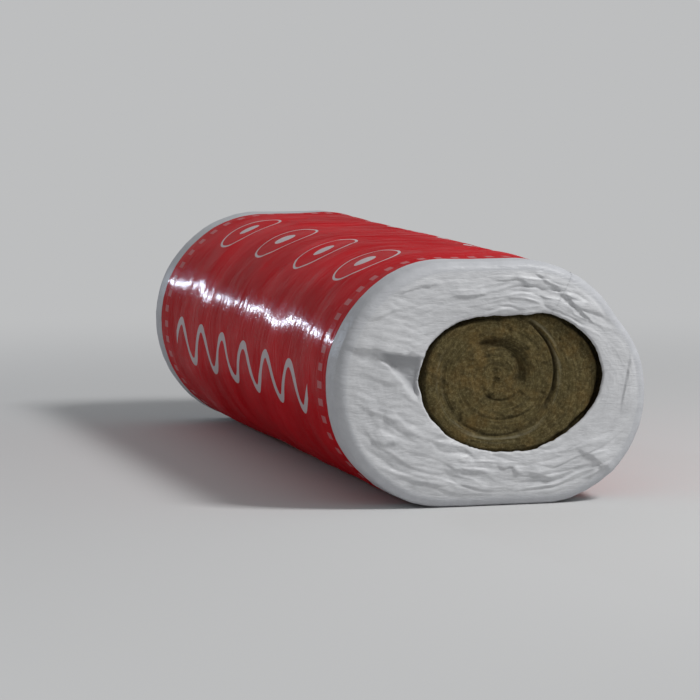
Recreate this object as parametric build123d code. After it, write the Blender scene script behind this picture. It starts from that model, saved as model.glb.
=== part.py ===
from build123d import *
from math import atan2, cos, pi, radians, sin, tan
import os

os.makedirs("parts", exist_ok=True)

# A mineral wool mat, rolled up and packed in one sheet of film.
# The roll lies on its side, a little flattened by its weight and by the layer that was stacked on it.
# Its axis is along Y with the near end at -Y, its underside is on Z = 0, and X and Y are zero at its middle.

# Mat, in millimetres
mat_width = 1000.0          # width of the mat, which is the length of the roll
roll_width = 408.0          # the rolled mat, side to side
roll_height = 308.0         # the rolled mat, underside to crown
left_heel_radius = 148.0    # where the left side turns under to the flat underside
right_heel_radius = 136.0   # the same on the right
side_flat = 6.0             # upright stretch between heel and shoulder
press_depth = 8.0           # a neighbour pressed the right shoulder flat, this far inside its arc
press_angle = 37.0          # the pressed flat faces so many degrees upwards from the right
end_edge_bevel = 12.0       # the mat's end edges are pressed in under the film
turn_thickness = 25.0       # one layer of the mat, pressed together in the roll

# Middle of the roll
core_shift_x = 8.0          # the innermost turn lies off the middle of the section
core_shift_z = 7.0
core_bore_width = 20.0      # the small eye that the first turn leaves open
core_bore_height = 11.0
turn_gap_width = 2.0        # dark line between two turns
turn_gap_depth = 9.0        # how far that line is open at the ends
free_end_share = 0.6        # share of a turn's thickness left where the mat's free end lies
arcs_per_turn = 6           # each turn of the gap is drawn as so many arcs

# Film
film_thickness = 1.0        # stands in for film of about a tenth of a millimetre
film_clearance = 0.3        # between the film and the mat
film_rim_radius = 12.0      # the film bends this softly over the roll's end edges
lap_start_angle = 34.0      # the sheet overlaps itself between these angles, on the right shoulder
lap_end_angle = 52.0
lap_thickness = 0.8         # height of the overlapping layer

# Pleats: flat triangular folds that take up the film's slack where its ends are tucked in
pleat_count = 16
pleat_width = 30.0          # at the eye; each pleat runs out to a point near the rim
pleat_tip_inset = 4.0       # from the rim's bend to that point
pleat_thickness = 0.7
pleat_swirl = 14.0          # degrees that a pleat leans over from the rim to the eye

# Eyes that the tucked-in film leaves open at the ends
eye_width = 246.0
eye_height = 178.0
eye_shift_x = 23.0          # the eye lies to the right of the middle of the end
eye_bend_radius = 42.0

# Each bend of an eye's edge: its angle, and how far out it lies on the eye's oval
near_eye_bends = [
    (5, 1.02), (38, 1.09), (66, 1.11), (90, 1.00), (122, 1.09), (150, 1.07),
    (178, 1.02), (210, 1.01), (238, 1.03), (270, 1.02), (303, 0.99), (335, 0.99),
]
far_eye_bends = [
    (0, 0.96), (35, 1.02), (70, 0.98), (105, 1.06), (150, 0.97),
    (190, 1.02), (230, 0.98), (275, 1.04), (320, 0.96),
]

# Values worked out from the sizes above
film_reach = film_clearance + film_thickness
left_shoulder_radius = roll_height - left_heel_radius - side_flat
right_shoulder_radius = roll_height - right_heel_radius - side_flat
middle_height = film_reach + roll_height / 2
mean_radius = (roll_width + roll_height) / 4
core_centre = Vector(core_shift_x, middle_height + core_shift_z)
arc_count = int(((mean_radius - core_bore_width / 2) / turn_thickness - free_end_share) * arcs_per_turn)
eye_centre = Vector(eye_shift_x, middle_height)
foot_share = 0.47           # a pleat's foot lies this far out on the eye's width, just inside its edge


def roll_outline(growth):
    """The section's outline, grown evenly outwards from the mat's own outline."""
    side = roll_width / 2 + growth
    bottom = film_reach - growth
    top = film_reach + roll_height + growth
    lean = radians(press_angle)
    shoulder = right_shoulder_radius + growth
    flat_reach = shoulder - press_depth
    below_flat = (flat_reach - shoulder * cos(lean)) / sin(lean)
    beside_flat = (flat_reach - shoulder * sin(lean)) / cos(lean)
    return FilletPolyline(
        (side, bottom),
        (side, top - shoulder + below_flat),
        (side - shoulder + beside_flat, top),
        (-side, top),
        (-side, bottom),
        radius=[
            right_heel_radius + growth,
            below_flat / tan(lean / 2),
            beside_flat / tan(pi / 4 - lean / 2),
            left_shoulder_radius + growth,
            left_heel_radius + growth,
        ],
        close=True,
    )


def roll_block(growth):
    """A solid of the mat's shape with sharp end edges, grown evenly outwards on all sides."""
    section = Plane.XZ * make_face(roll_outline(growth))
    return extrude(section, amount=mat_width / 2 + growth, both=True)


def end_edges(block):
    return block.faces().filter_by(Axis.Y).edges()


def mat_block(growth):
    """The mat's own shape, with its pressed-in end edges."""
    block = roll_block(growth)
    return chamfer(end_edges(block), end_edge_bevel)


def turn_reach(turns):
    """Direction from the core, and distance, of the line between turns after so many turns."""
    edge_point = mat_outline.position_at(turns % 1) - core_centre
    level = (core_bore_width / 2 + turns * turn_thickness) / mean_radius
    round_share = (1 - level) * mean_radius
    oval_share = level * edge_point.length
    return edge_point.normalized(), level * (round_share + oval_share)


def turn_side(shift):
    """One side of the thin gap between the turns: short arcs from the core out to the mat's free end."""
    points = []
    for step in range(2 * arc_count + 1):
        direction, reach = turn_reach(step / 2 / arcs_per_turn)
        points.append(core_centre + direction * (reach + shift))
    return [ThreePointArc(*points[k:k + 3]) for k in range(0, 2 * arc_count, 2)]


def turn_gap_face():
    """The thin spiral between the turns, as a flat face."""
    inner_side = turn_side(-turn_gap_width / 2)
    outer_side = turn_side(turn_gap_width / 2)
    start = Line(inner_side[0] @ 0, outer_side[0] @ 0)
    end = Line(inner_side[-1] @ 1, outer_side[-1] @ 1)
    return make_face(inner_side + outer_side + [start, end])


def free_end_face():
    """The mat's free end: the gap's last point runs straight out to the roll's side."""
    direction, reach = turn_reach(arc_count / arcs_per_turn)
    across = Vector(-direction.Y, direction.X) * turn_gap_width / 2
    start = core_centre + direction * (reach - turn_gap_width / 2)
    end = core_centre + direction * (reach + turn_thickness)
    return make_face(Polyline(start - across, end - across, end + across, start + across, close=True))


def end_plane(direction, lift=0):
    """The plane of the mat's near end (1) or far end (-1), moved out by the lift and seen from -Y."""
    return Plane.XZ.offset(direction * (mat_width / 2 + lift))


def eye_face(bends):
    """The uneven oval that the tucked-in film leaves open."""
    points = []
    for angle, reach in bends:
        x = cos(radians(angle)) * reach * eye_width / 2
        z = sin(radians(angle)) * reach * eye_height / 2
        points.append(eye_centre + Vector(x, z))
    return make_face(FilletPolyline(*points, radius=eye_bend_radius, close=True))


def wool_roll():
    """The rolled mat: one solid with its small bore, and its turns open at both ends."""
    roll = mat_block(0)
    bore = Ellipse(core_bore_width / 2, core_bore_height / 2)
    bore_place = Plane.XZ * Pos(core_centre.X, core_centre.Y)
    roll -= extrude(bore_place * bore, amount=mat_width, both=True)
    roll -= extrude(Plane.XZ * free_end_face(), amount=mat_width, both=True)
    gap = turn_gap_face()
    for direction in (1, -1):
        roll -= extrude(end_plane(direction) * gap, amount=-direction * turn_gap_depth)
    return roll


def film_lap():
    """The strip along the roll where the sheet lies over itself."""
    ring = make_face(roll_outline(film_reach + lap_thickness))
    ring -= make_face(roll_outline(film_reach - film_thickness / 2))
    reach = roll_width + roll_height
    corners = [(0, middle_height)]
    for angle in (lap_start_angle, lap_end_angle):
        x = cos(radians(angle)) * reach
        z = middle_height + sin(radians(angle)) * reach
        corners.append((x, z))
    sector = make_face(Polyline(corners, close=True))
    return extrude(Plane.XZ * (ring & sector), amount=mat_width / 2 - film_rim_radius, both=True)


def pleat_face(number):
    """One pleat's outline: a long triangle with its point at the rim and its foot inside the eye."""
    tip = pleat_start_line.position_at(number / pleat_count)
    from_eye = tip - eye_centre
    turn = atan2(from_eye.Y / eye_height, from_eye.X / eye_width) + radians(pleat_swirl)
    foot = eye_centre + Vector(cos(turn) * eye_width, sin(turn) * eye_height) * foot_share
    across = Vector(foot.Y - tip.Y, tip.X - foot.X).normalized() * pleat_width / 2
    return make_face(Polyline(tip, foot + across, foot - across, close=True))


def film_wrap():
    """The packing film: a thin closed sleeve whose tucked-in ends leave an eye open."""
    outside = roll_block(film_reach)
    film = fillet(end_edges(outside), film_rim_radius) - mat_block(film_clearance)
    for direction, bends in ((1, near_eye_bends), (-1, far_eye_bends)):
        plane = end_plane(direction, film_clearance)
        outward = direction * (film_thickness + pleat_thickness)
        for number in range(pleat_count):
            film += extrude(plane * pleat_face(number), amount=outward)
        film -= extrude(plane * eye_face(bends), amount=outward)
    return film + film_lap()


def write(name, part):
    part.label = name
    export_step(part, f"parts/{name}.step")
    size = part.bounding_box().size
    print(name, "solids", len(part.solids()), "size", size, "volume", round(part.volume))


mat_outline = Wire(roll_outline(0).edges())
pleat_start_line = Wire(roll_outline(film_reach - film_rim_radius - pleat_tip_inset).edges())
write("wool_roll", wool_roll())
write("film_wrap", film_wrap())
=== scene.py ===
# %% [markdown]
# # A rolled mineral wool mat in its packing film
#
# The object is a soft mat of mineral wool, a metre wide, that was wound up into a roll and wrapped in one
# sheet of glossy film. It lies on its side and has sagged a little, so its section is an oval with a flat
# underside. The film is red along the roll and milky white at both ends, where it is tucked in over the
# mat's edge and leaves an eye open that shows the wool's turns.
#
# The solids of the model are already measured and placed. They are loaded first, as a fixed frame, and
# every piece below is drawn in the same place in metres: Y along the roll, Z up, the near end at -Y.

# %% Load the frame
from math import atan2, cos, degrees, exp, hypot, pi, radians, sin, tan
import bmesh
import bpy
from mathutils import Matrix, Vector, noise


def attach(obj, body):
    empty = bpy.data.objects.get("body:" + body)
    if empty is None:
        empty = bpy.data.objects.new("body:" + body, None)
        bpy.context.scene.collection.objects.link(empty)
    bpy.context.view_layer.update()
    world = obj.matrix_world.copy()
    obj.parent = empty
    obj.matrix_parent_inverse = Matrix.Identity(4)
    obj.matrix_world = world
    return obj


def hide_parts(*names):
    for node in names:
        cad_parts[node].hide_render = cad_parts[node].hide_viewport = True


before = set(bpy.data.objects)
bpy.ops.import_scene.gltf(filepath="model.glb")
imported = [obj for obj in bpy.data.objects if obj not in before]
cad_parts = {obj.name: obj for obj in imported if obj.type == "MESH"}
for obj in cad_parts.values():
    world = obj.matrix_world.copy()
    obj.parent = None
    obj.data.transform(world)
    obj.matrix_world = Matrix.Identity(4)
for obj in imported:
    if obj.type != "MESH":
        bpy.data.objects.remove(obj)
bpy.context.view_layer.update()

# %% [markdown]
# ## The roll's section
#
# A soft roll that has lain on its side is no circle. Its outline is a wide rectangle with very round
# corners, each with its own radius, and its right shoulder was pressed flat. The flat replaces the middle
# of that corner, so two arcs run into it, one from the side and one from the top. Both pieces follow this
# one outline, the wool just inside it and the film just outside it, so it is written once: a walk round
# straight runs and arcs, counter-clockwise from the right side.

# %% Sizes of the section
half_length = 0.500          # from the roll's middle to the mat's end
roll_width = 0.408
roll_height = 0.308
side_flat = 0.006
left_heel, right_heel = 0.148, 0.136
left_shoulder = roll_height - left_heel - side_flat
right_shoulder = roll_height - right_heel - side_flat
press_depth = 0.008          # the flat lies this far inside the shoulder's arc
press_angle = 37             # and faces so many degrees upwards
mat_bottom = 0.0013          # the film lies under the mat
section_middle = Vector((0, mat_bottom + roll_height / 2))
print("section", roll_width, "by", roll_height, "m")

# %% Corners of the section
right, left = roll_width / 2, -roll_width / 2
top = mat_bottom + roll_height
lean = radians(press_angle)
flat_reach = right_shoulder - press_depth
below_flat = (flat_reach - right_shoulder * cos(lean)) / sin(lean)
beside_flat = (flat_reach - right_shoulder * sin(lean)) / cos(lean)
lower_arc = below_flat / tan(lean / 2)
upper_arc = beside_flat / tan(pi / 4 - lean / 2)
corners = [
    # the middle of each arc, its radius, the direction it starts in and how far it turns, in degrees
    (Vector((right - lower_arc, top - right_shoulder)), lower_arc, 0, press_angle),
    (Vector((right - right_shoulder, top - upper_arc)), upper_arc, press_angle, 90 - press_angle),
    (Vector((left + left_shoulder, top - left_shoulder)), left_shoulder, 90, 90),
    (Vector((left + left_heel, mat_bottom + left_heel)), left_heel, 180, 90),
    (Vector((right - right_heel, mat_bottom + right_heel)), right_heel, 270, 90),
]
print("corners", len(corners))

# %% Walk round the outline


def facing(angle):
    """The direction that lies so many degrees counter-clockwise from the right."""
    return Vector((cos(radians(angle)), sin(radians(angle))))


# a straight run starts with its two ends and an arc with its middle and radius, and both go on with their
# length, the direction they face at first and how far they turn
outline_runs = []
for index, (middle, radius, first, sweep) in enumerate(corners):
    last_middle, last_radius, _, _ = corners[index - 1]
    start = last_middle + last_radius * facing(first)
    end = middle + radius * facing(first)
    outline_runs.append((start, end, (end - start).length, first, 0))
    outline_runs.append((middle, radius, radius * radians(sweep), first, sweep))
outline_length = sum(run[2] for run in outline_runs)


def outline(share):
    """Point of the mat's outline, and the direction outwards, after a share of the way round."""
    way = (share % 1) * outline_length
    for a, b, length, first, sweep in outline_runs:
        if way <= length:
            break
        way -= length
    outwards = facing(first + sweep * way / length)
    if sweep:
        return a + b * outwards, outwards
    return a.lerp(b, way / length), outwards


print("outline", round(outline_length, 4), "m round")

# %% [markdown]
# ## Small helpers
#
# `smooth` fades between two levels, and `grain` reads Blender's noise, which is the same on every run.
# `blank` starts each piece as one flat grid, because both the wool and the film are sheets of quads that
# only need bending: a grid that is bent row by row keeps its quads even, and its columns can follow a
# wrinkle or a turn.

# %% Helpers for shapes
off_lattice = 0.37           # stands in for a missing number, because the noise is weaker at whole ones


def smooth(low, high, value):
    """0 at low, 1 at high and an even fade between them. low may be the larger one."""
    share = min(max((value - low) / (high - low), 0), 1)
    return share * share * (3 - 2 * share)


def grain(*place):
    """Smooth noise from -1 to 1 at a place of up to three numbers."""
    return noise.noise(Vector(place + (off_lattice,) * (3 - len(place))))


def crease(*place):
    """Ridged noise from 0 to 1: thin crests with wide hollows between them."""
    return (1 - min(abs(grain(*place)) * 2.2, 1)) ** 2


def blank(columns, rows, marks=()):
    """A flat grid as a bmesh, and each vertex's column and row. marks are names of values on vertices."""
    mesh = bmesh.new()
    for mark in marks:
        mesh.verts.layers.float.new(mark)
    bmesh.ops.create_grid(mesh, x_segments=columns, y_segments=rows, size=1)
    places = {}
    for vertex in mesh.verts:
        column = round((vertex.co.x + 1) / 2 * columns)
        row = round((vertex.co.y + 1) / 2 * rows)
        places[vertex] = (column, row)
    return mesh, places


def as_piece(name, mesh, material):
    """Turns a bmesh into a smooth object in the scene, with one material."""
    data = bpy.data.meshes.new(name)
    mesh.to_mesh(data)
    mesh.free()
    piece = bpy.data.objects.new(name, data)
    bpy.context.scene.collection.objects.link(piece)
    data.materials.append(material)
    data.shade_smooth()
    print(name, len(data.polygons), "faces")
    return piece


# %% [markdown]
# ## Helpers for materials
#
# A material is a small tree of nodes. These helpers keep it readable: `add` places a node and sets its
# sockets, with a number for a fixed value and a socket for a link, `coated` lays colours over one another,
# and `group` starts a shared effect whose inputs and outputs have names.

# %% Helpers for materials


def add(tree, kind, settings=None, **inputs):
    """Adds a node. settings are its own options, and inputs are its sockets.

    A socket goes by its name, with _ for a space, or by its number as i0, i1 and so on.
    """
    node = tree.nodes.new(kind)
    for key, value in (settings or {}).items():
        setattr(node, key, value)
    for key, value in inputs.items():
        name = key.replace("_", " ")
        socket = node.inputs[int(key[1:])] if key[1:].isdigit() else node.inputs[name]
        if isinstance(value, bpy.types.NodeSocket):
            tree.links.new(value, socket)
        else:
            socket.default_value = value
    return node


def maths(tree, operation, *values):
    sockets = {f"i{index}": value for index, value in enumerate(values)}
    return add(tree, "ShaderNodeMath", {"operation": operation}, **sockets).outputs[0]


def between(tree, value, low, high):
    """0 below low, 1 above high, and smooth between them."""
    settings = {"interpolation_type": "SMOOTHSTEP"}
    return add(tree, "ShaderNodeMapRange", settings, Value=value, From_Min=low, From_Max=high).outputs[0]


def falling(tree, value, low, high):
    """1 below low, 0 above high, and smooth between them."""
    return maths(tree, "SUBTRACT", 1.0, between(tree, value, low, high))


def noise_of(tree, place, scale, detail, roughness=0.5, distortion=0.0):
    """Blender's noise texture, whose values lie round 0.5."""
    return add(tree, "ShaderNodeTexNoise", Vector=place, Scale=scale, Detail=detail, Roughness=roughness,
               Distortion=distortion).outputs[0]


def vertex_mark(tree, name):
    """A value that the piece's own vertices carry."""
    return add(tree, "ShaderNodeAttribute", {"attribute_name": name}).outputs["Fac"]


def blended(tree, share, a, b):
    """Mixes two colours: a where the share is 0, and b where it is 1."""
    a, b = ((*colour, 1) if isinstance(colour, tuple) else colour for colour in (a, b))
    return add(tree, "ShaderNodeMix", {"data_type": "RGBA"}, i0=share, i6=a, i7=b).outputs[2]


def coated(tree, colour, coats):
    """Lays coats over a colour, one after another. Each is a mask, its strength and its own colour."""
    for mask, strength, coat in coats:
        colour = blended(tree, maths(tree, "MULTIPLY", mask, strength), colour, coat)
    return colour


def group(name, inputs, outputs):
    """Starts a shared effect: its tree, the sockets it reads and the sockets it fills."""
    tree = bpy.data.node_groups.new(name, "ShaderNodeTree")
    for label, kind in inputs:
        tree.interface.new_socket(label, in_out="INPUT", socket_type=kind)
    for label, kind in outputs:
        tree.interface.new_socket(label, in_out="OUTPUT", socket_type=kind)
    return tree, tree.nodes.new("NodeGroupInput").outputs, tree.nodes.new("NodeGroupOutput").inputs


def new_material(name):
    """A new material, its tree and its Principled BSDF."""
    material = bpy.data.materials.new(name)
    material.use_nodes = True
    tree = material.node_tree
    return material, tree, tree.nodes["Principled BSDF"]


# %% [markdown]
# ## Fibres and crinkles as shared effects
#
# Two effects are kept as groups of their own, so that each can be placed with its own scale. *Fibre
# speckle* is the fine light and dark grain of cut wool fibres. *Film crinkle* is the net of tiny facets that
# thin film gets when it is pulled tight: noise that is stretched along one direction, and folded at its
# middle so that it has sharp crests.

# %% Shared effect: fibre speckle
speckle, given, result = group(
    "fibre speckle", [("Vector", "NodeSocketVector"), ("Scale", "NodeSocketFloat")],
    [("Value", "NodeSocketFloat"), ("Height", "NodeSocketFloat")],
)
coarse = noise_of(speckle, given["Vector"], given["Scale"], detail=6.0, roughness=0.75)
fine_scale = maths(speckle, "MULTIPLY", given["Scale"], 3.7)
fine = noise_of(speckle, given["Vector"], fine_scale, detail=3.0, roughness=0.8)
coarse_share = maths(speckle, "MULTIPLY", coarse, 0.6)
mixed = maths(speckle, "ADD", coarse_share, maths(speckle, "MULTIPLY", fine, 0.4))
speckle.links.new(between(speckle, mixed, 0.36, 0.64), result["Value"])
speckle.links.new(mixed, result["Height"])

# %% Shared effect: film crinkle
crinkle, given, result = group(
    "film crinkle",
    [("Vector", "NodeSocketVector"), ("Scale", "NodeSocketFloat"), ("Stretch", "NodeSocketVector")],
    [("Height", "NodeSocketFloat")],
)
pulled = add(crinkle, "ShaderNodeVectorMath", {"operation": "MULTIPLY"}, i0=given["Vector"],
             i1=given["Stretch"])
total = None
for size, weight in ((1.0, 0.55), (2.3, 0.3), (5.1, 0.15)):
    scale = maths(crinkle, "MULTIPLY", given["Scale"], size)
    level = noise_of(crinkle, pulled.outputs[0], scale, detail=1.5, distortion=0.6)
    folded = maths(crinkle, "ABSOLUTE", maths(crinkle, "SUBTRACT", level, 0.5))
    folded = maths(crinkle, "MULTIPLY", folded, -2 * weight)
    total = folded if total is None else maths(crinkle, "ADD", total, folded)
crinkle.links.new(total, result["Height"])
print("effects", [effect.name for effect in bpy.data.node_groups])

# %% [markdown]
# ## The wool: a mat that winds outwards
#
# The mat is one long layer that winds round a small eye, so its end shows a spiral. A ring-shaped grid
# would cut across that spiral and blur it. Here the grid itself is wound: each column is a ray from the
# core, and a row ends where the row one turn further out starts, so rows always lie along a turn. Every turn
# is cut into the same rows, so that they meet where the last column joins the first.
#
# Near the core the turns are round, and further out they take the roll's oval shape.

# %% Where each turn lies
turn_thickness = 0.025
turns_in_all = 6.7           # the mat ends after nearly seven turns
core = section_middle + Vector((0.008, 0.007))
core_radius = 0.010          # half the width of the small eye that the first turn leaves open
mean_radius = (roll_width + roll_height) / 4
edge_bevel = 0.012           # the mat's end edges are pressed in under the film


def turn_reach(turns, edge_reach):
    """Distance from the core after so many turns, on a ray where the outline is edge_reach away."""
    level = max((core_radius + turns * turn_thickness) / mean_radius, 0)
    return level * ((1 - level) * mean_radius + level * edge_reach)


def turn_way(turns):
    """Length of mat wound up after so many turns."""
    return 2 * pi * (core_radius * turns + turn_thickness * turns * turns / 2)


print("mat wound up", round(turn_way(turns_in_all), 2), "m")

# %% [markdown]
# ### The eyes
#
# The tucked-in film leaves an eye open at each end. Each is an oval that the folds pull out of shape, so it
# is written as an oval and a few bends, each with its angle and how far out it lies. `eye_reach` measures it
# in any direction. Both the wool, which is pressed back along the eye's edge, and the film follow it.

# %% The eyes' outlines
eye_shift = Vector((0.023, 0.0))       # the eyes lie to the right of the middle of the section
eye_centre = section_middle + eye_shift
eye_width, eye_height = 0.246, 0.178
near_bends = [
    (0, 1.00), (25, 1.05), (38, 1.06), (57, 1.085), (72, 1.03), (90, 0.99), (110, 1.02), (133, 1.08),
    (154, 1.06), (175, 1.00), (205, 0.99), (228, 1.01), (260, 1.00), (290, 1.00), (315, 0.96), (340, 0.965),
]
far_bends = [
    (0, 0.96), (25, 1.03), (50, 1.06), (75, 0.98), (100, 1.05), (130, 1.03), (155, 0.97),
    (190, 1.02), (215, 1.05), (240, 0.98), (275, 1.03), (300, 1.00), (325, 0.95),
]


def eye_reach(bends, angle):
    """Distance from the eye's centre to its edge: an oval, made uneven by a smooth curve over the bends."""
    angle %= 360
    count = len(bends)
    after = next((index for index, bend in enumerate(bends) if bend[0] > angle), count)
    around = []
    for index in range(after - 2, after + 2):
        bend_angle, bend_reach = bends[index % count]
        around.append((bend_angle + 360 * (index // count), bend_reach))
    share = (angle - around[1][0]) / (around[2][0] - around[1][0])
    a, b, c, d = (bend_reach for _, bend_reach in around)
    uneven = b + 0.5 * share * (c - a + share * (2 * a - 5 * b + 4 * c - d + share * (3 * (b - c) + d - a)))
    return uneven / hypot(cos(radians(angle)) * 2 / eye_width, sin(radians(angle)) * 2 / eye_height)


print("near eye", [round(eye_reach(near_bends, angle), 3) for angle in range(0, 360, 45)])

# %% [markdown]
# ### The relief of the cut wool
#
# The mat's cut edge is not flat. Every layer is crowned, some turns stand a little further out than others,
# and the layer itself is made of thin leaves of fibre. The roll was pressed, so the lines between its turns
# are closed nearly everywhere: only a soft dark crescent round the core, a line on the right and a torn pale
# skin at the bottom and on the left still show. `turn_marks` lists them as arcs round the core, and
# `cut_edge` adds all effects up. It also gives the painted shade of the wool in gaps, in pits and beside the
# film's edge, and where the mat's pale skin shows.

# %% Marks on the wool's ends
turn_marks = [
    # radius, growth to either side, middle and half span in degrees, depth, width, painted shade, share of
    # skin
    (0.0368, 0.0120, 50, 82, 0.0080, 0.0080, 0.58, 0.0),
    (0.0760, 0.0052, 12, 56, 0.0075, 0.0021, 1.00, 0.70),
    (0.0735, 0.0000, 238, 92, 0.0024, 0.0024, 0.55, 0.90),
    (0.0990, 0.0040, 205, 60, 0.0022, 0.0024, 0.55, 0.20),
]
small_hole = Vector((-0.003, -0.017))  # from the middle of the section


def arc_mark(reach, angle, way, mark, seed):
    """Depth, painted shade and pale skin of one arc at a distance and a direction from the core."""
    radius, growth, middle, span, depth, width, painted_shade, pale = mark
    aside = (angle - middle + 180) % 360 - 180
    shown = 1 - smooth(span * 0.70, span, abs(aside))
    if not shown:
        return 0, 0, 0
    off = reach - radius - growth * aside / span - 0.0014 * grain(way * 5, seed)
    torn = smooth(-0.25, 0.30, grain(way * 18, seed + 6) + 0.4 * grain(way * 55, seed + 6))
    skin = pale * shown * torn * exp(-((off - 2.4 * width) / 0.0030) ** 2)
    deep = shown * exp(-(off / width) ** 2) * (0.85 + 0.4 * grain(way * 15, seed + 2))
    return depth * deep, painted_shade * deep, skin


print("marks", len(turn_marks))

# %% Relief of the wool's ends
set_back = 0.0030            # the cut edge lies so far behind the end of the mat, before all other effects
least_depth = 0.0006         # and no tuft of it stands out further than this


def beside_eye(place, bends, seed):
    """How far the wool is pressed back beside the film's edge, most on the right and at the upper left."""
    from_eye = place - eye_shift
    angle = degrees(atan2(from_eye.y, from_eye.x))
    gap = eye_reach(bends, angle) - from_eye.length
    right_side = max(cos(radians(angle - 8)), 0) ** 2
    upper_left = max(cos(radians(angle - 143)), 0) ** 2
    depth = 0.0030 + 0.0090 * right_side + 0.0085 * upper_left
    gap += 0.0024 * grain(angle / 11, seed) - 0.0012 * right_side - 0.0042 * upper_left
    return depth * smooth(0.0065, 0.0010, gap)


def cut_edge(layer, turns, reach, angle, place, bends, seed):
    """How far a point lies behind the mat's cut edge, how much shade is painted on it for lying deep
    in a gap, in a pit or beside the film's edge, and how much it is pale skin.

    layer runs from 0 to 1 across one layer of the mat. reach and angle are measured from the core.
    """
    way = turn_way(turns)
    gap = min(layer, 1 - layer) * turn_thickness
    openness = max(grain(way * 6, seed) + 0.6 * grain(way * 21, seed) - 0.12, 0.0)
    crevice = 0.0030 * openness * exp(-(gap / 0.0012) ** 2) * smooth(0.010, 0.024, reach)
    painted_shade = crevice / 0.0060
    skin = 0
    for mark in turn_marks:
        deeper, arc_shade, paler = arc_mark(reach, angle, way, mark, seed)
        crevice += deeper
        painted_shade = max(painted_shade, arc_shade)
        skin = max(skin, paler)
    x, z = place
    crown = 0.0007 * (2 * layer - 1) ** 2
    dish = 0.0020 * (1 - smooth(0.2, 2.4, turns)) + 0.0012 * (1 - smooth(0.070, 0.078, reach))
    telescoped = 0.0014 * grain(turns * 1.3, seed + 4)
    leaves = 0.0010 * grain(layer * 5, way * 24, seed) + 0.0006 * grain(layer * 9, way * 60, seed + 9)
    tufts = 0.0013 * grain(x * 60, z * 60, seed) + 0.0009 * grain(x * 150, z * 150, seed)
    pits = 0.0012 * smooth(0.40, 0.62, grain(x * 105, z * 105, seed + 20))
    pits += 0.0040 * exp(-((place - small_hole).length / 0.0042) ** 2)
    pressed = beside_eye(place, bends, seed)
    behind = set_back + crevice + crown + dish + telescoped + leaves + tufts + pits + pressed
    # the second value is painted shade: darker the deeper the gap or pit, and beside the film's edge
    return max(behind, least_depth), min(painted_shade + pits / 0.0050 + pressed / 0.020, 1), skin


# %% [markdown]
# ### Build the wool
#
# One grid makes the whole mat: it starts at the core of the near end, runs outwards over the turns, along
# the body and back into the core of the far end. The near end has finer rows, because its relief is seen.
# Rows that would run past the pressed-in edge are held there, and the doubled vertices on it, at the seam
# and at both cores are merged, which closes the shape. The vertices carry two marks for the material: the
# shade painted on the wool in its gaps and pits and beside the film's edge, and how much pale skin shows. The
# `turns` map holds the place in a layer and the length of mat wound up.

# %% Rows and columns of the wool's grid
inmost_turn, outmost_turn = -2, 7      # rows start at the core's middle and reach past the outline
near_layer_rows, far_layer_rows = 16, 8
body_end = half_length - edge_bevel
wool_columns = 340


def turn_rows(layer_rows):
    """The rows of one end, each as a number of turns, with so many rows to a layer of the mat."""
    rows = [turn + k / layer_rows for turn in range(inmost_turn, outmost_turn) for k in range(layer_rows)]
    return rows + [outmost_turn]


wool_rows = [("near", turns) for turns in turn_rows(near_layer_rows)]
wool_rows += [("body", y) for y in (-body_end, -half_length / 2, 0, half_length / 2, body_end)]
wool_rows += [("far", turns) for turns in reversed(turn_rows(far_layer_rows))]
rays = []
for column in range(wool_columns + 1):
    edge, away = outline(column / wool_columns)
    ray = edge - core
    rays.append((ray.normalized(), ray.length, edge, away))
print("wool rows", len(wool_rows), "columns", wool_columns)

# %% Build the wool
end_inset = 0.0005           # the wool's ends stay this far inside the mat's length
hidden_gap = 0.0030          # under the film the wool stays this far inside its outline, out of sight
hidden_depth = 0.0046        # and this far behind its ends, where rows are held


def given_way(reach, x, z, zone):
    """How far the wool gives way under the tucked-in film, which is pushed in on the left of the near end."""
    way = 0.0055 * smooth(0.105, 0.150, reach)
    if zone == "near":
        way += 0.0045 * smooth(-0.088, -0.108, x) * smooth(-0.060, -0.020, z) * smooth(0.065, 0.045, z)
    return way


wool_mesh, places = blank(wool_columns, len(wool_rows) - 1, ("gap_shade", "skin"))
turn_map = wool_mesh.loops.layers.uv.new("turns")
gap_shade_mark = wool_mesh.verts.layers.float["gap_shade"]
skin_mark = wool_mesh.verts.layers.float["skin"]
turn_places = {}
for vertex, (column, row) in places.items():
    ray, edge_reach, edge, away = rays[column]
    zone, along = wool_rows[row]
    if zone == "body":
        place = edge - away * hidden_gap
        vertex.co = (place.x, along, place.y)
        turn_places[vertex] = (outmost_turn, 0)
        continue
    end, bends, seed = (-1, near_bends, 3) if zone == "near" else (1, far_bends, 31)
    turns = max(along + column / wool_columns, -core_radius / turn_thickness)
    reach = turn_reach(turns, edge_reach)
    held = reach > edge_reach - edge_bevel
    reach = min(reach, edge_reach - edge_bevel)
    place = core + ray * reach
    x, z = place - section_middle
    behind, gap_shade, skin = hidden_depth, 0, 0
    if not held:
        angle = degrees(atan2(ray.y, ray.x))
        behind, gap_shade, skin = cut_edge(along % 1, turns, reach, angle, Vector((x, z)), bends, seed)
    seen = smooth(0, 0.004, reach) * (1 - smooth(0.140, 0.160, reach))
    y = half_length - end_inset - behind * seen - given_way(reach, x, z, zone)
    vertex.co = (place.x, end * y, place.y)
    # the painted shade of gaps and pits and the pale skin go onto the vertices
    vertex[gap_shade_mark], vertex[skin_mark] = gap_shade * seen, skin * seen
    turn_places[vertex] = (outmost_turn if held else along, turn_way(turns))
for face in wool_mesh.faces:
    for loop in face.loops:
        loop[turn_map].uv = turn_places[loop.vert]
bmesh.ops.remove_doubles(wool_mesh, verts=wool_mesh.verts, dist=0.00002)
bmesh.ops.recalc_face_normals(wool_mesh, faces=wool_mesh.faces)
print("open edges", sum(not edge.is_manifold for edge in wool_mesh.edges))
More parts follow.
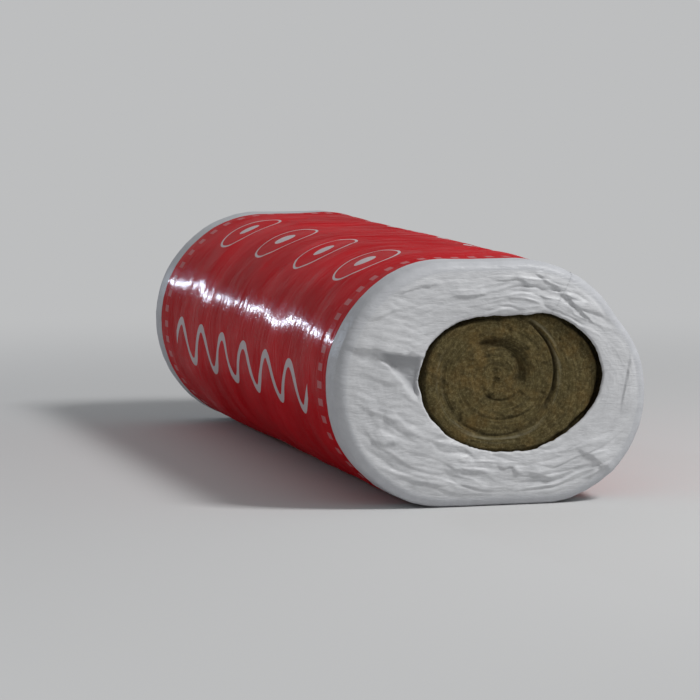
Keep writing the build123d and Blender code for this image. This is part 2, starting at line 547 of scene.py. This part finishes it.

# %% [markdown]
# ### The wool's finish
#
# Mineral wool is matte and fibrous. Its olive brown comes from the binder, with paler cut fibres on top. The
# colours follow the turns: the `turns` map gives the place across the layer and the length of mat wound up,
# so leaves of fibre are drawn as long streaks that follow the spiral. Over them lie thin coats, each with a
# mask: warmer patches, dull blotches, cut fibres and the shade between them, the mat's pale skin and last a
# near black painted shade in its crevices, its pits and beside the film's edge.

# %% Wool material: patterns
wool_material, tree, shader = new_material("wool")
turn_uv = add(tree, "ShaderNodeUVMap", {"uv_map": "turns"})
split = add(tree, "ShaderNodeSeparateXYZ", Vector=turn_uv.outputs[0])
layer = maths(tree, "FRACT", split.outputs[0])
leaf_place = add(tree, "ShaderNodeCombineXYZ", X=layer, Y=maths(tree, "MULTIPLY", split.outputs[1], 4.5))
leaves = noise_of(tree, leaf_place.outputs[0], 8.0, detail=6.0, roughness=0.75, distortion=0.4)
where = add(tree, "ShaderNodeTexCoord").outputs["Object"]
patches = noise_of(tree, where, 26.0, detail=4.0, roughness=0.6)
blotches = noise_of(tree, where, 85.0, detail=2.0, roughness=0.6)
grains = add(tree, "ShaderNodeGroup", {"node_tree": speckle}, Vector=where, Scale=260.0)
fibres = grains.outputs["Value"]

# %% Wool material: colours and finish
dark_leaf, pale_leaf = (0.062, 0.049, 0.020), (0.134, 0.104, 0.042)
warm_brown, dull_brown = (0.142, 0.086, 0.026), (0.056, 0.043, 0.018)
cut_fibre, fibre_shade = (0.30, 0.250, 0.130), (0.030, 0.022, 0.009)
# the last colour is a near black painted shade for gaps, pits and the wool beside the film's edge
pale_skin, painted_gap_shade = (0.30, 0.275, 0.185), (0.012, 0.009, 0.004)
leaf_colour = blended(tree, between(tree, leaves, 0.34, 0.66), dark_leaf, pale_leaf)
wool_colour = coated(tree, leaf_colour, [
    (between(tree, patches, 0.42, 0.66), 0.60, warm_brown),
    (between(tree, blotches, 0.44, 0.64), 0.50, dull_brown),
    (between(tree, fibres, 0.50, 0.95), 0.34, cut_fibre),
    (falling(tree, fibres, 0.10, 0.48), 0.34, fibre_shade),
    (vertex_mark(tree, "skin"), 0.60, pale_skin),
    # painted shade: near black in gaps, pits and beside the film's edge
    (vertex_mark(tree, "gap_shade"), 0.88, painted_gap_shade),
])
tree.links.new(wool_colour, shader.inputs["Base Color"])
shader.inputs["Roughness"].default_value = 0.95
shader.inputs["Specular IOR Level"].default_value = 0.15
bump = add(tree, "ShaderNodeBump", Strength=0.9, Distance=0.0014, Height=grains.outputs["Height"])
tree.links.new(bump.outputs[0], shader.inputs["Normal"])

wool = as_piece("mineral_wool_mat", wool_mesh, wool_material)
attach(wool, "root")
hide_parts("wool_roll")

# %% [markdown]
# ## The film: one sheet round the roll
#
# The film is one sheet, a little longer than once round the roll, so its edge lies over itself on the right
# shoulder. It is about a metre and a quarter wide, and its spare width is tucked in over both ends. Thin
# film is best kept as a single layer of quads: one grid, whose columns go round the roll and whose rows go
# from the near eye, over the rim, along the roll and over the far rim to the far eye.

# %% [markdown]
# ### Folds and wrinkles of the tucked-in ends
#
# Where the film turns in over the end it has too much width, and the spare film lies in fine wrinkles and a
# few larger folds. The wrinkles mostly run along the ring between rim and eye, but on the left they run
# straight towards the eye, because the film was pulled that way. A large fold is a flap: it falls off
# sharply on one side and runs out softly on the other. Each is a line with a height, a width and a side.
# Under the largest flap, on the left, the film is pushed in as a three-cornered pocket, which is sharp under
# the flap and soft on its other sides.

# %% Large folds of the tucked-in ends
near_folds = [
    # start, end, height and soft width of the flap, which lies on the left of the way from start to end
    ((-0.196, 0.053), (-0.104, 0.039), 0.0044, 0.042),
    ((-0.152, 0.046), (-0.106, 0.039), 0.0028, 0.026),
    ((-0.104, -0.012), (-0.150, 0.038), 0.0032, 0.030),
    ((0.056, 0.140), (0.094, 0.112), 0.0023, 0.020),
    ((0.094, 0.110), (0.124, 0.078), 0.0034, 0.022),
    ((0.118, -0.090), (0.160, -0.118), 0.0037, 0.022),
    ((0.130, -0.122), (0.158, -0.112), 0.0024, 0.012),
    ((-0.052, 0.114), (-0.016, 0.113), 0.0024, 0.015),
    ((-0.128, 0.120), (-0.078, 0.126), 0.0018, 0.014),
    ((-0.172, 0.086), (-0.122, 0.094), 0.0018, 0.016),
    ((0.006, 0.131), (0.052, 0.126), 0.0020, 0.012),
    ((-0.158, -0.069), (-0.128, -0.073), 0.0026, 0.013),
    ((-0.176, -0.020), (-0.132, -0.046), 0.0020, 0.016),
    ((-0.110, -0.121), (-0.070, -0.126), 0.0026, 0.013),
    ((0.008, -0.106), (0.034, -0.113), 0.0024, 0.012),
    ((0.052, -0.114), (0.078, -0.123), 0.0024, 0.012),
    ((-0.060, -0.100), (-0.016, -0.112), 0.0018, 0.014),
    ((0.186, 0.058), (0.172, -0.026), 0.0026, 0.020),
]
near_pocket = (Vector((-0.156, 0.046)), Vector((-0.094, 0.037)), Vector((-0.098, -0.022)))
far_folds = [
    ((-0.180, 0.090), (-0.100, 0.066), 0.0030, 0.036),
    ((-0.100, 0.066), (-0.150, 0.080), -0.0050, 0.030),
    ((0.180, 0.030), (0.128, 0.070), 0.0030, 0.030),
    ((0.040, -0.132), (0.110, -0.090), 0.0030, 0.028),
    ((-0.155, -0.085), (-0.090, -0.060), 0.0028, 0.028),
    ((0.000, 0.142), (0.060, 0.100), 0.0026, 0.024),
    ((-0.192, 0.010), (-0.118, -0.004), 0.0022, 0.030),
    ((0.150, -0.060), (0.188, -0.040), 0.0022, 0.020),
]
print("folds", len(near_folds), "near,", len(far_folds), "far")

# %% Shape of a fold and of the pocket


def fold_height(place, folds):
    """Height of all folds together at a place, which is measured from the middle of the section."""
    total = 0
    for start, end, height, width in folds:
        start, end = Vector(start), Vector(end)
        run = end - start
        passed = (place - start).dot(run) / run.length_squared
        if not -0.4 < passed < 1.4:
            continue
        aside = run.normalized().cross(place - start) + 0.0050 * grain(passed * 2.3, start.x * 50)
        aside += 0.0020 * grain(passed * 6.5, start.y * 50)
        fade = smooth(-0.25, 0.20, passed) * (1 - smooth(0.80, 1.30, passed))
        total += height * fade * smooth(-0.0012, 0.0012, aside) * exp(-(max(aside, 0) / width) ** 2)
    return total


def pocket_depth(place, pocket):
    """How far the film is pushed in between three corners, and to what share a place lies between them.

    It falls off sharply under the flap and softly on the left, and is deepest at its foot.
    """
    flap_end, inner, foot = pocket
    share = 1
    for start, end, soft in ((flap_end, inner, 0.0016), (inner, foot, 0.0060), (foot, flap_end, 0.0100)):
        inside = -(end - start).normalized().cross(place - start)
        share *= smooth(0, soft, inside)
    below_flap = -(inner - flap_end).normalized().cross(place - flap_end)
    return (0.0035 + 0.0090 * min(max(below_flap, 0) / 0.050, 1)) * share, share


# %% Fine wrinkles of the tucked-in ends


def streaks(along, across, seed):
    """Wrinkles that run along a line: soft waves, thin crests and thin valleys.

    along is a point on that line, and across is how far to its side the wrinkles are read.
    """
    waves = 0.0021 * grain(along.x * 13, along.y * 13, across * 58 + seed)
    crests = 0.0014 * crease(along.x * 16, along.y * 16, across * 100 + seed + 5)
    valleys = 0.0018 * crease(along.x * 19, along.y * 19, across * 84 + seed + 6)
    return waves + crests - valleys


def unrest(x, z, seed):
    """How strongly the film is wrinkled: in patches, and less on the right, at the upper left and below."""
    strength = 0.42 + 0.75 * smooth(-0.30, 0.30, grain(x * 11, z * 11, seed + 11))
    strength *= 1 - 0.60 * smooth(0.105, 0.150, x) * smooth(0.085, 0.040, abs(z))
    strength *= 1 - 0.45 * smooth(0.030, -0.050, x) * smooth(0.035, 0.075, z)
    strength *= 1 - 0.15 * smooth(-0.060, -0.090, z)
    return strength


def end_relief(place, rim, inwards, folds, pocket, seed):
    """Height of the tucked-in film above the mat's end.

    rim is the outline's point that this line starts at, and inwards runs from 0 at the rim to 1 at the eye.
    """
    x, z = place
    drift = 0.010 * grain(x * 9, z * 9, seed) + 0.0030 * grain(x * 30, z * 30, seed)
    off_eye = place - eye_shift
    ring = hypot(off_eye.x / 1.9, off_eye.y) + drift
    wrinkles = streaks(rim * 0.8, ring, seed)
    pulled = smooth(-0.085, -0.125, x) * smooth(-0.075, 0.010, z)
    if pulled > 0:
        wrinkles += (streaks(Vector((x, 0)), z + 0.30 * x + drift, seed + 2) - wrinkles) * pulled
    fine = 0.0003 * crease(rim.x * 60, rim.y * 60, ring * 330 + seed)
    pillow = 0.0020 * sin(pi * min(max(inwards, 0), 1)) * (1 + 0.6 * grain(rim.x * 7, rim.y * 7, seed + 3))
    relief = (wrinkles * unrest(x, z, seed) + fine) * smooth(-0.06, 0.16, inwards) + pillow
    relief += fold_height(place, folds) * smooth(-0.1, 0.10, inwards)
    lowest = -0.0035 * smooth(0.0, 0.15, inwards)
    if pocket:
        depth, _ = pocket_depth(place, pocket)
        relief -= depth
        lowest -= 0.55 * depth
    return max(relief, lowest)


# %% [markdown]
# ### Build the film
#
# Each row of the grid is one line round the roll. The rows run from the near eye's edge out to the rim,
# round the soft rim and along the body, and down the far end in the same way. `profile` lists them, each
# with its zone and how far along it the row lies. A few more rows are a lip that curls in behind each eye's
# edge. On the body the film is tight, with long shallow dents and ripples. Where the sheet laps over itself,
# its last stretch lies half a millimetre higher, and its free edge wanders. At the upper right of the eye
# the film stands off the wool and leaves a dark gap.

# %% Rows and columns of the film's grid
film_gap = 0.0009            # from the mat's outline to the film
rim_radius = 0.013
body_reach = 0.485           # the body's rows lie less than this far from the middle of the roll
lip_end = 0.085              # rows from minus this up to 0 are the lip, behind the eye's edge
lap_start = 0.116            # the sheet starts after this share of the way round the outline
lap_share = 0.049            # and laps over itself by this share of that way
film_columns = 400
near_steps, far_steps, rim_steps, body_steps = 54, 40, 7, 116

lip_rows = [-lip_end, -0.045, -0.015]
near_face_rows = lip_rows + [k / near_steps for k in range(near_steps + 1)]
far_face_rows = lip_rows + [k / far_steps for k in range(far_steps + 1)]
rim_rows = [k / rim_steps for k in range(1, rim_steps + 1)]
body_rows = [-body_reach + 2 * body_reach * k / body_steps for k in range(1, body_steps)]
profile = [("near face", along) for along in near_face_rows] + [("near rim", along) for along in rim_rows]
profile += [("body", y) for y in body_rows]
profile += [("far rim", along) for along in reversed(rim_rows)]
profile += [("far face", along) for along in reversed(far_face_rows)]
print("film rows", len(profile), "columns", film_columns)

# %% Dents of the tight film


def body_relief(edge, y):
    """Dents, ripples round the roll, and gathers towards its ends, at a point of the outline and a length."""
    x, z = edge - section_middle
    dents = 0.0014 * grain(x * 5, z * 5, y * 3.2 + 11) + 0.0009 * grain(x * 14, z * 14, y * 7 + 12)
    ripples = 0.0011 * grain(x * 6, z * 6, y * 27 + 13) + 0.0009 * crease(x * 5, z * 5, y * 19 + 15)
    ripples += 0.0009 * grain(x * 15, z * 15, y * 15 + 16)
    towards_end = smooth(0.40, 0.49, abs(y))
    gathers = 0.0006 * towards_end * grain(x * 80, z * 80, y * 16 + 14)
    return dents + ripples + gathers


# %% The film's edge round the eyes


def lifted(angle):
    """How far the film's edge stands off the wool at this side of the eye, most at the upper right."""
    return 0.0006 + 0.0034 * max(cos(radians(angle - 50)), 0) ** 2


def eye_edge_at(angle, bends, seed):
    """A point of the slightly ragged edge, in a direction from the eye's centre."""
    x, z = cos(radians(angle)), sin(radians(angle))
    ragged = 0.0016 * grain(x * 6, z * 6, seed) + 0.0007 * grain(x * 22, z * 22, seed)
    return eye_centre + facing(angle) * (eye_reach(bends, angle) + ragged)


# %% The film's columns
lap_height = 0.0005          # the double layer lies this much higher
lap_rise = 0.03              # and rises to it over this share of the way round

columns = []
eye_edges = {"near": [], "far": []}
for column in range(film_columns + 1):
    share = lap_start + column / film_columns * (1 + lap_share)
    edge, away = outline(share)
    rim_middle = edge + away * (film_gap - rim_radius)
    from_eye = rim_middle - eye_centre
    angle = degrees(atan2(from_eye.y, from_eye.x))
    over = lap_height * smooth(1 - lap_rise + lap_start, 1 + lap_start, share)
    columns.append((share, edge, away, rim_middle, angle, over))
    eye_edges["near"].append(eye_edge_at(angle, near_bends, 2))
    eye_edges["far"].append(eye_edge_at(angle, far_bends, 40))
print("lap", round(lap_share * outline_length, 3), "m wide")

# %% Build the film
lip_bulge, lip_depth = 0.0022, 0.0035  # how far the lip bulges into the eye, and how far back it curls
free_edge_columns = 8                  # the sheet's last columns, which wander and lift
floor_gap = 0.00005                    # the film stays this far above the floor
film_ends = {
    # which way the end faces, its folds, its pocket and a seed for its wrinkles
    "near": (-1, near_folds, near_pocket, 2),
    "far": (1, far_folds, None, 40),
}

film_mesh, places = blank(film_columns, len(profile) - 1, ("pocket_shade",))
pocket_shade_mark = film_mesh.verts.layers.float["pocket_shade"]
print_map = film_mesh.loops.layers.uv.new("sheet")
sheet_places = {}
for vertex, (column, row) in places.items():
    share, edge, away, rim_middle, angle, over = columns[column]
    zone, along = profile[row]
    name = "near" if zone.startswith("near") else "far"
    end, folds, pocket, seed = film_ends[name]
    if zone.endswith("face"):
        eye_edge = eye_edges[name][column]
        place = eye_edge.lerp(rim_middle, max(along, 0))
        relief = end_relief(place - section_middle, edge - section_middle, 1 - along, folds, pocket, seed)
        y = half_length + film_gap + relief + lifted(angle) * smooth(0.55, 0.0, along) + over
        if along < 0:
            curl = -along / lip_end
            into_eye = (eye_edge - rim_middle).normalized()
            place = eye_edge + into_eye * (lip_bulge * sin(pi * 0.8 * curl))
            y -= (lip_depth + lifted(angle) * 0.5) * curl
        vertex.co = (place.x, end * y, place.y)
        # the pocket's share goes onto the vertices as its painted shade
        if pocket:
            vertex[pocket_shade_mark] = pocket_depth(place - section_middle, pocket)[1]
        sheet_y = end * (half_length + (place - edge).length)
    elif zone.endswith("rim"):
        relief = end_relief(rim_middle - section_middle, edge - section_middle, 0, folds, pocket, seed)
        relief = relief * (1 - along) + body_relief(edge, end * (half_length - rim_radius)) * along
        bend = along * pi / 2
        reach = rim_radius + relief + over
        place = rim_middle + away * reach * sin(bend)
        vertex.co = (place.x, end * (half_length + film_gap - rim_radius + reach * cos(bend)), place.y)
        sheet_y = end * (half_length + film_gap - rim_radius * (1 - cos(bend)))
    else:
        free_edge = smooth(film_columns - free_edge_columns, film_columns, column)
        free_edge *= smooth(0.486, 0.440, abs(along))
        if free_edge:
            wander = 0.0085 * grain(along * 4, 5.1) + 0.0045 * grain(along * 15, 6.2)
            edge, away = outline(share + wander * free_edge)
            over += 0.0018 * free_edge * (1 + 1.2 * grain(along * 11, 7.3))
        place = edge + away * (film_gap + body_relief(edge, along) + over)
        vertex.co = (place.x, along, place.y)
        sheet_y = along
    vertex.co.z = max(vertex.co.z, floor_gap + over * 0.5)
    sheet_places[vertex] = (share * outline_length, sheet_y)
for face in film_mesh.faces:
    for loop in face.loops:
        loop[print_map].uv = sheet_places[loop.vert]
bmesh.ops.recalc_face_normals(film_mesh, faces=film_mesh.faces)
top_face = max(film_mesh.faces, key=lambda face: face.calc_center_median().z)
if top_face.normal.z < 0:
    bmesh.ops.reverse_faces(film_mesh, faces=film_mesh.faces)
print("top of the film", round(top_face.calc_center_median().z, 4), "m up")

# %% [markdown]
# ### The film's print
#
# The film is printed red between its bare ends. The `sheet` map gives the place on the flat sheet in metres,
# so the print is drawn as it was printed: a red field with a strip of small bars near its ends, and between
# them rows of a bold wavy line, like the sign that drawings use for soft insulation, and rows of rings with
# a dot. Every shape is a distance from a line, and one small shared effect turns it into ink.

# %% Shared effect: a printed line
ink_blur = 0.0004            # the ink's edge is this soft
stroke, given, result = group(
    "printed line", [("Distance", "NodeSocketFloat"), ("Width", "NodeSocketFloat")],
    [("Mask", "NodeSocketFloat")],
)
off_line = maths(stroke, "ABSOLUTE", given["Distance"])
half_width = maths(stroke, "MULTIPLY", given["Width"], 0.5)
sharp = add(stroke, "ShaderNodeMapRange", Value=off_line, From_Min=half_width,
            From_Max=maths(stroke, "ADD", half_width, ink_blur), To_Min=1.0, To_Max=0.0)
stroke.links.new(sharp.outputs[0], result["Mask"])


def line(tree, distance, width):
    node = add(tree, "ShaderNodeGroup", {"node_tree": stroke}, Distance=distance, Width=width)
    return node.outputs["Mask"]


# %% Film material: the red field
film_material, tree, shader = new_material("film")
sheet_place = add(tree, "ShaderNodeUVMap", {"uv_map": "sheet"}).outputs[0]
split = add(tree, "ShaderNodeSeparateXYZ", Vector=sheet_place)
round_way, long_way = split.outputs[0], split.outputs[1]
off_middle = maths(tree, "ABSOLUTE", long_way)
red_reach = 0.4500           # the red ends so far from the middle of the roll
red_share = falling(tree, off_middle, red_reach - 0.0015, red_reach)
repeat = 0.395               # from one printed row to the next of its kind, round the roll
wave_row = 0.610             # where a row of waves lies on that way


def across_row(place):
    """Distance across the nearest row of one kind. place is where one of these rows lies."""
    shifted = maths(tree, "ADD", round_way, 3.5 * repeat - place)
    return maths(tree, "SUBTRACT", maths(tree, "MODULO", shifted, repeat), repeat / 2)


def up_to(reach):
    """1 up to so far from the middle of the roll, and 0 past it."""
    return falling(tree, off_middle, reach - 0.0005, reach + 0.0005)


# %% Film material: rows of waves
wave_length, wave_reach, wave_width = 0.120, 0.027, 0.0110
wave_angle = maths(tree, "MULTIPLY", long_way, 2 * pi / wave_length)
wave = maths(tree, "MULTIPLY", maths(tree, "SINE", wave_angle), wave_reach)
slope = maths(tree, "MULTIPLY", maths(tree, "COSINE", wave_angle), wave_reach * 2 * pi / wave_length)
steep = maths(tree, "SQRT", maths(tree, "ADD", maths(tree, "MULTIPLY", slope, slope), 1.0))
off_wave = maths(tree, "DIVIDE", maths(tree, "SUBTRACT", across_row(wave_row), wave), steep)
ink = maths(tree, "MULTIPLY", line(tree, off_wave, wave_width), up_to(0.3600))

# %% Film material: rows of rings
ring_spacing, ring_radius, ring_width, dot_width = 0.200, 0.046, 0.0032, 0.0300
along_row = maths(tree, "MODULO", maths(tree, "ADD", long_way, 4 * ring_spacing), ring_spacing)
along_row = maths(tree, "SUBTRACT", along_row, ring_spacing / 2)
off_dot = add(tree, "ShaderNodeCombineXYZ", X=along_row, Y=across_row(wave_row + repeat / 2)).outputs[0]
off_dot = add(tree, "ShaderNodeVectorMath", {"operation": "LENGTH"}, i0=off_dot).outputs["Value"]
rings = line(tree, maths(tree, "SUBTRACT", off_dot, ring_radius), ring_width)
rings = maths(tree, "MAXIMUM", rings, line(tree, off_dot, dot_width))
ink = maths(tree, "MAXIMUM", ink, maths(tree, "MULTIPLY", rings, up_to(0.3905)))

# %% Film material: strips of bars
bar_spacing = outline_length / 52
bar_width, strip_place, strip_width, bar_ink = 0.0090, 0.4200, 0.0180, 0.30
along_strip = maths(tree, "MODULO", round_way, bar_spacing)
bars = line(tree, maths(tree, "SUBTRACT", along_strip, bar_spacing / 2), bar_width)
strip = line(tree, maths(tree, "SUBTRACT", off_middle, strip_place), strip_width)
bars = maths(tree, "MULTIPLY", bars, strip)
ink = maths(tree, "MAXIMUM", ink, maths(tree, "MULTIPLY", bars, bar_ink))
print("bars", round(bar_spacing, 4), "m apart")

# %% [markdown]
# ### The film's colours
#
# The ends are milky because the gathered film lies there in several layers. The pocket under the large flap
# is painted grey, a painted shade for the flap's shadow, and a vertex mark carries where it lies. The margin
# between the red and the gathered end is painted a little greyer, a painted shade. A few millimetres along
# the sheet's cut edge are bare of print.

# %% Film material: colours
thin_milk, thick_milk, cloudy_milk = (0.575, 0.580, 0.595), (0.650, 0.655, 0.670), (0.53, 0.53, 0.535)
# painted shade: a grey for the pocket under the flap, and a blue grey for the margin band
painted_pocket_shade, painted_margin_shade = (0.33, 0.335, 0.35), (0.42, 0.435, 0.47)
deep_red, pale_red, pale_ink = (0.45, 0.001, 0.006), (0.56, 0.003, 0.010), (0.55, 0.48, 0.50)
where = add(tree, "ShaderNodeTexCoord").outputs["Object"]
clouds = noise_of(tree, where, 9.0, detail=3.0)
threads = noise_of(tree, sheet_place, 60.0, detail=4.0, roughness=0.65)
milk = coated(tree, blended(tree, between(tree, threads, 0.35, 0.68), thin_milk, thick_milk), [
    (between(tree, clouds, 0.45, 0.75), 0.25, cloudy_milk),
    # painted shade: the pocket under the flap is greyed
    (vertex_mark(tree, "pocket_shade"), 0.75, painted_pocket_shade),
    # painted shade: the margin band between the red and the gathered end is greyed
    (falling(tree, off_middle, 0.495, 0.520), 0.45, painted_margin_shade),
])
red = blended(tree, between(tree, clouds, 0.35, 0.70), deep_red, pale_red)
printed = blended(tree, ink, red, pale_ink)
cut_edge_way = (lap_start + 1 + lap_share) * outline_length
bare_share = between(tree, round_way, cut_edge_way - 0.0045, cut_edge_way - 0.0030)
printed = blended(tree, bare_share, printed, milk)
film_colour = blended(tree, red_share, milk, printed)
tree.links.new(film_colour, shader.inputs["Base Color"])

# %% [markdown]
# ### The film's gloss
#
# The film is glossy and thin. In the bump, tiny crinkles break the light up, and wide swells let its bright
# line wander. Seen along the roll, clear film would mirror the pale studio and look washed out. Layer Weight
# holds the gloss back at such low angles, so the red stays deep.

# %% Film material: gloss
milk_roughness, red_roughness = 0.36, 0.13
most_gloss = 0.50
roughness = blended(tree, red_share, (milk_roughness,) * 3, (red_roughness,) * 3)
tree.links.new(roughness, shader.inputs["Roughness"])
shader.inputs["IOR"].default_value = 1.45
facing_away = add(tree, "ShaderNodeLayerWeight", Blend=0.5).outputs["Facing"]
gloss = maths(tree, "POWER", maths(tree, "SUBTRACT", 1.0, facing_away), 3.0)
tree.links.new(maths(tree, "MULTIPLY", gloss, most_gloss), shader.inputs["Specular IOR Level"])

# %% Film material: crinkles and swells
body_crinkle = add(tree, "ShaderNodeGroup", {"node_tree": crinkle}, Vector=sheet_place, Scale=30.0,
                   Stretch=(0.45, 1.7, 1.0))
body_swell = noise_of(tree, sheet_place, 10.0, detail=1.0, roughness=0.4)
body_height = maths(tree, "ADD", maths(tree, "MULTIPLY", body_crinkle.outputs[0], 0.60),
                    maths(tree, "MULTIPLY", body_swell, 3.2))
end_crinkle = add(tree, "ShaderNodeGroup", {"node_tree": crinkle}, Vector=where, Scale=70.0,
                  Stretch=(0.45, 1.0, 1.9))
end_height = maths(tree, "MULTIPLY", end_crinkle.outputs[0], 0.5)
height = add(tree, "ShaderNodeMix", Factor=red_share, A=end_height, B=body_height)
bump = add(tree, "ShaderNodeBump", Strength=0.85, Distance=0.0022, Height=height.outputs[0])
tree.links.new(bump.outputs[0], shader.inputs["Normal"])

film = as_piece("packing_film", film_mesh, film_material)
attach(film, "root")
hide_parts("film_wrap")

# %% [markdown]
# ## Floor, light and camera
#
# The floor is plain and pale. Far away it fades to the colour of the background, so no horizon shows. The
# world gives even light from all sides, and a large soft lamp above and to the right gives the main light.
# Far behind on the left stand a small lamp and a large dim one, which the film reflects as a bright line in
# a haze.

# %% Floor
backdrop_level = 0.52
backdrop_tint = (0.98, 0.99, 1.0, 1)
floor_radius = 14
fade_start, fade_end = 0.6, 2.2        # from the roll, in metres
floor_mesh = bmesh.new()
bmesh.ops.create_circle(floor_mesh, cap_ends=True, radius=floor_radius, segments=96)
floor_material, tree, shader = new_material("floor")
shader.inputs["Roughness"].default_value = 0.9
shader.inputs["Specular IOR Level"].default_value = 0.1
shader.inputs["Base Color"].default_value = (0.62, 0.62, 0.62, 1)
glow = add(tree, "ShaderNodeEmission", Color=backdrop_tint, Strength=backdrop_level)
where = add(tree, "ShaderNodeTexCoord").outputs["Object"]
away_from_roll = add(tree, "ShaderNodeVectorMath", {"operation": "LENGTH"}, i0=where).outputs["Value"]
faded = add(tree, "ShaderNodeMixShader", i0=between(tree, away_from_roll, fade_start, fade_end),
            i1=shader.outputs[0], i2=glow.outputs[0])
tree.links.new(faded.outputs[0], tree.nodes["Material Output"].inputs["Surface"])
ground = as_piece("floor", floor_mesh, floor_material)

# %% World
ambient_level = 0.31         # the camera and reflections see the backdrop, and all else gets this light
world = bpy.data.worlds.new("studio")
bpy.context.scene.world = world
world.use_nodes = True
tree = world.node_tree
sky = tree.nodes["Background"]
sky.inputs["Color"].default_value = backdrop_tint
light_path = add(tree, "ShaderNodeLightPath").outputs
seen_directly = maths(tree, "MAXIMUM", light_path["Is Camera Ray"], light_path["Is Glossy Ray"])
seen_directly = maths(tree, "MAXIMUM", seen_directly, light_path["Is Transmission Ray"])
brightness = maths(tree, "MULTIPLY", seen_directly, backdrop_level - ambient_level)
brightness = maths(tree, "ADD", brightness, ambient_level)
tree.links.new(brightness, sky.inputs["Strength"])
print("backdrop", backdrop_level, "ambient light", ambient_level)

# %% Lamps


def turned_to(thing, target):
    thing.rotation_euler = (Vector(target) - thing.location).to_track_quat("-Z", "Y").to_euler()


def lamp(name, place, target, size, power, colour=(1, 1, 1)):
    """An area lamp that shines at its target. size is its width and height in metres, power is in watts."""
    data = bpy.data.lights.new(name, "AREA")
    data.shape = "RECTANGLE"
    data.size, data.size_y = size
    data.energy = power
    data.color = colour
    thing = bpy.data.objects.new(name, data)
    bpy.context.scene.collection.objects.link(thing)
    thing.location = place
    turned_to(thing, target)


lamp("main lamp", (1.9, -2.0, 3.2), (0, 0, 0.1), (0.9, 0.9), 108)
lamp("line lamp", (-1.33, 4.4, 0.72), (-0.19, 0, 0.21), (0.22, 0.09), 21, (0.72, 0.84, 1))
lamp("haze lamp", (-1.36, 4.5, 0.74), (-0.19, 0, 0.21), (0.90, 0.40), 2.8, (0.56, 0.66, 1))

# %% Camera
camera_data = bpy.data.cameras.new("camera")
camera = bpy.data.objects.new("camera", camera_data)
bpy.context.scene.collection.objects.link(camera)
camera_data.sensor_width = 36
camera_data.lens = 195
camera.location = (-1.4795, -5.012, 0.688)
turned_to(camera, (-0.045, 0.0, 0.150))
bpy.context.scene.camera = camera
bpy.context.scene.view_settings.view_transform = "Standard"
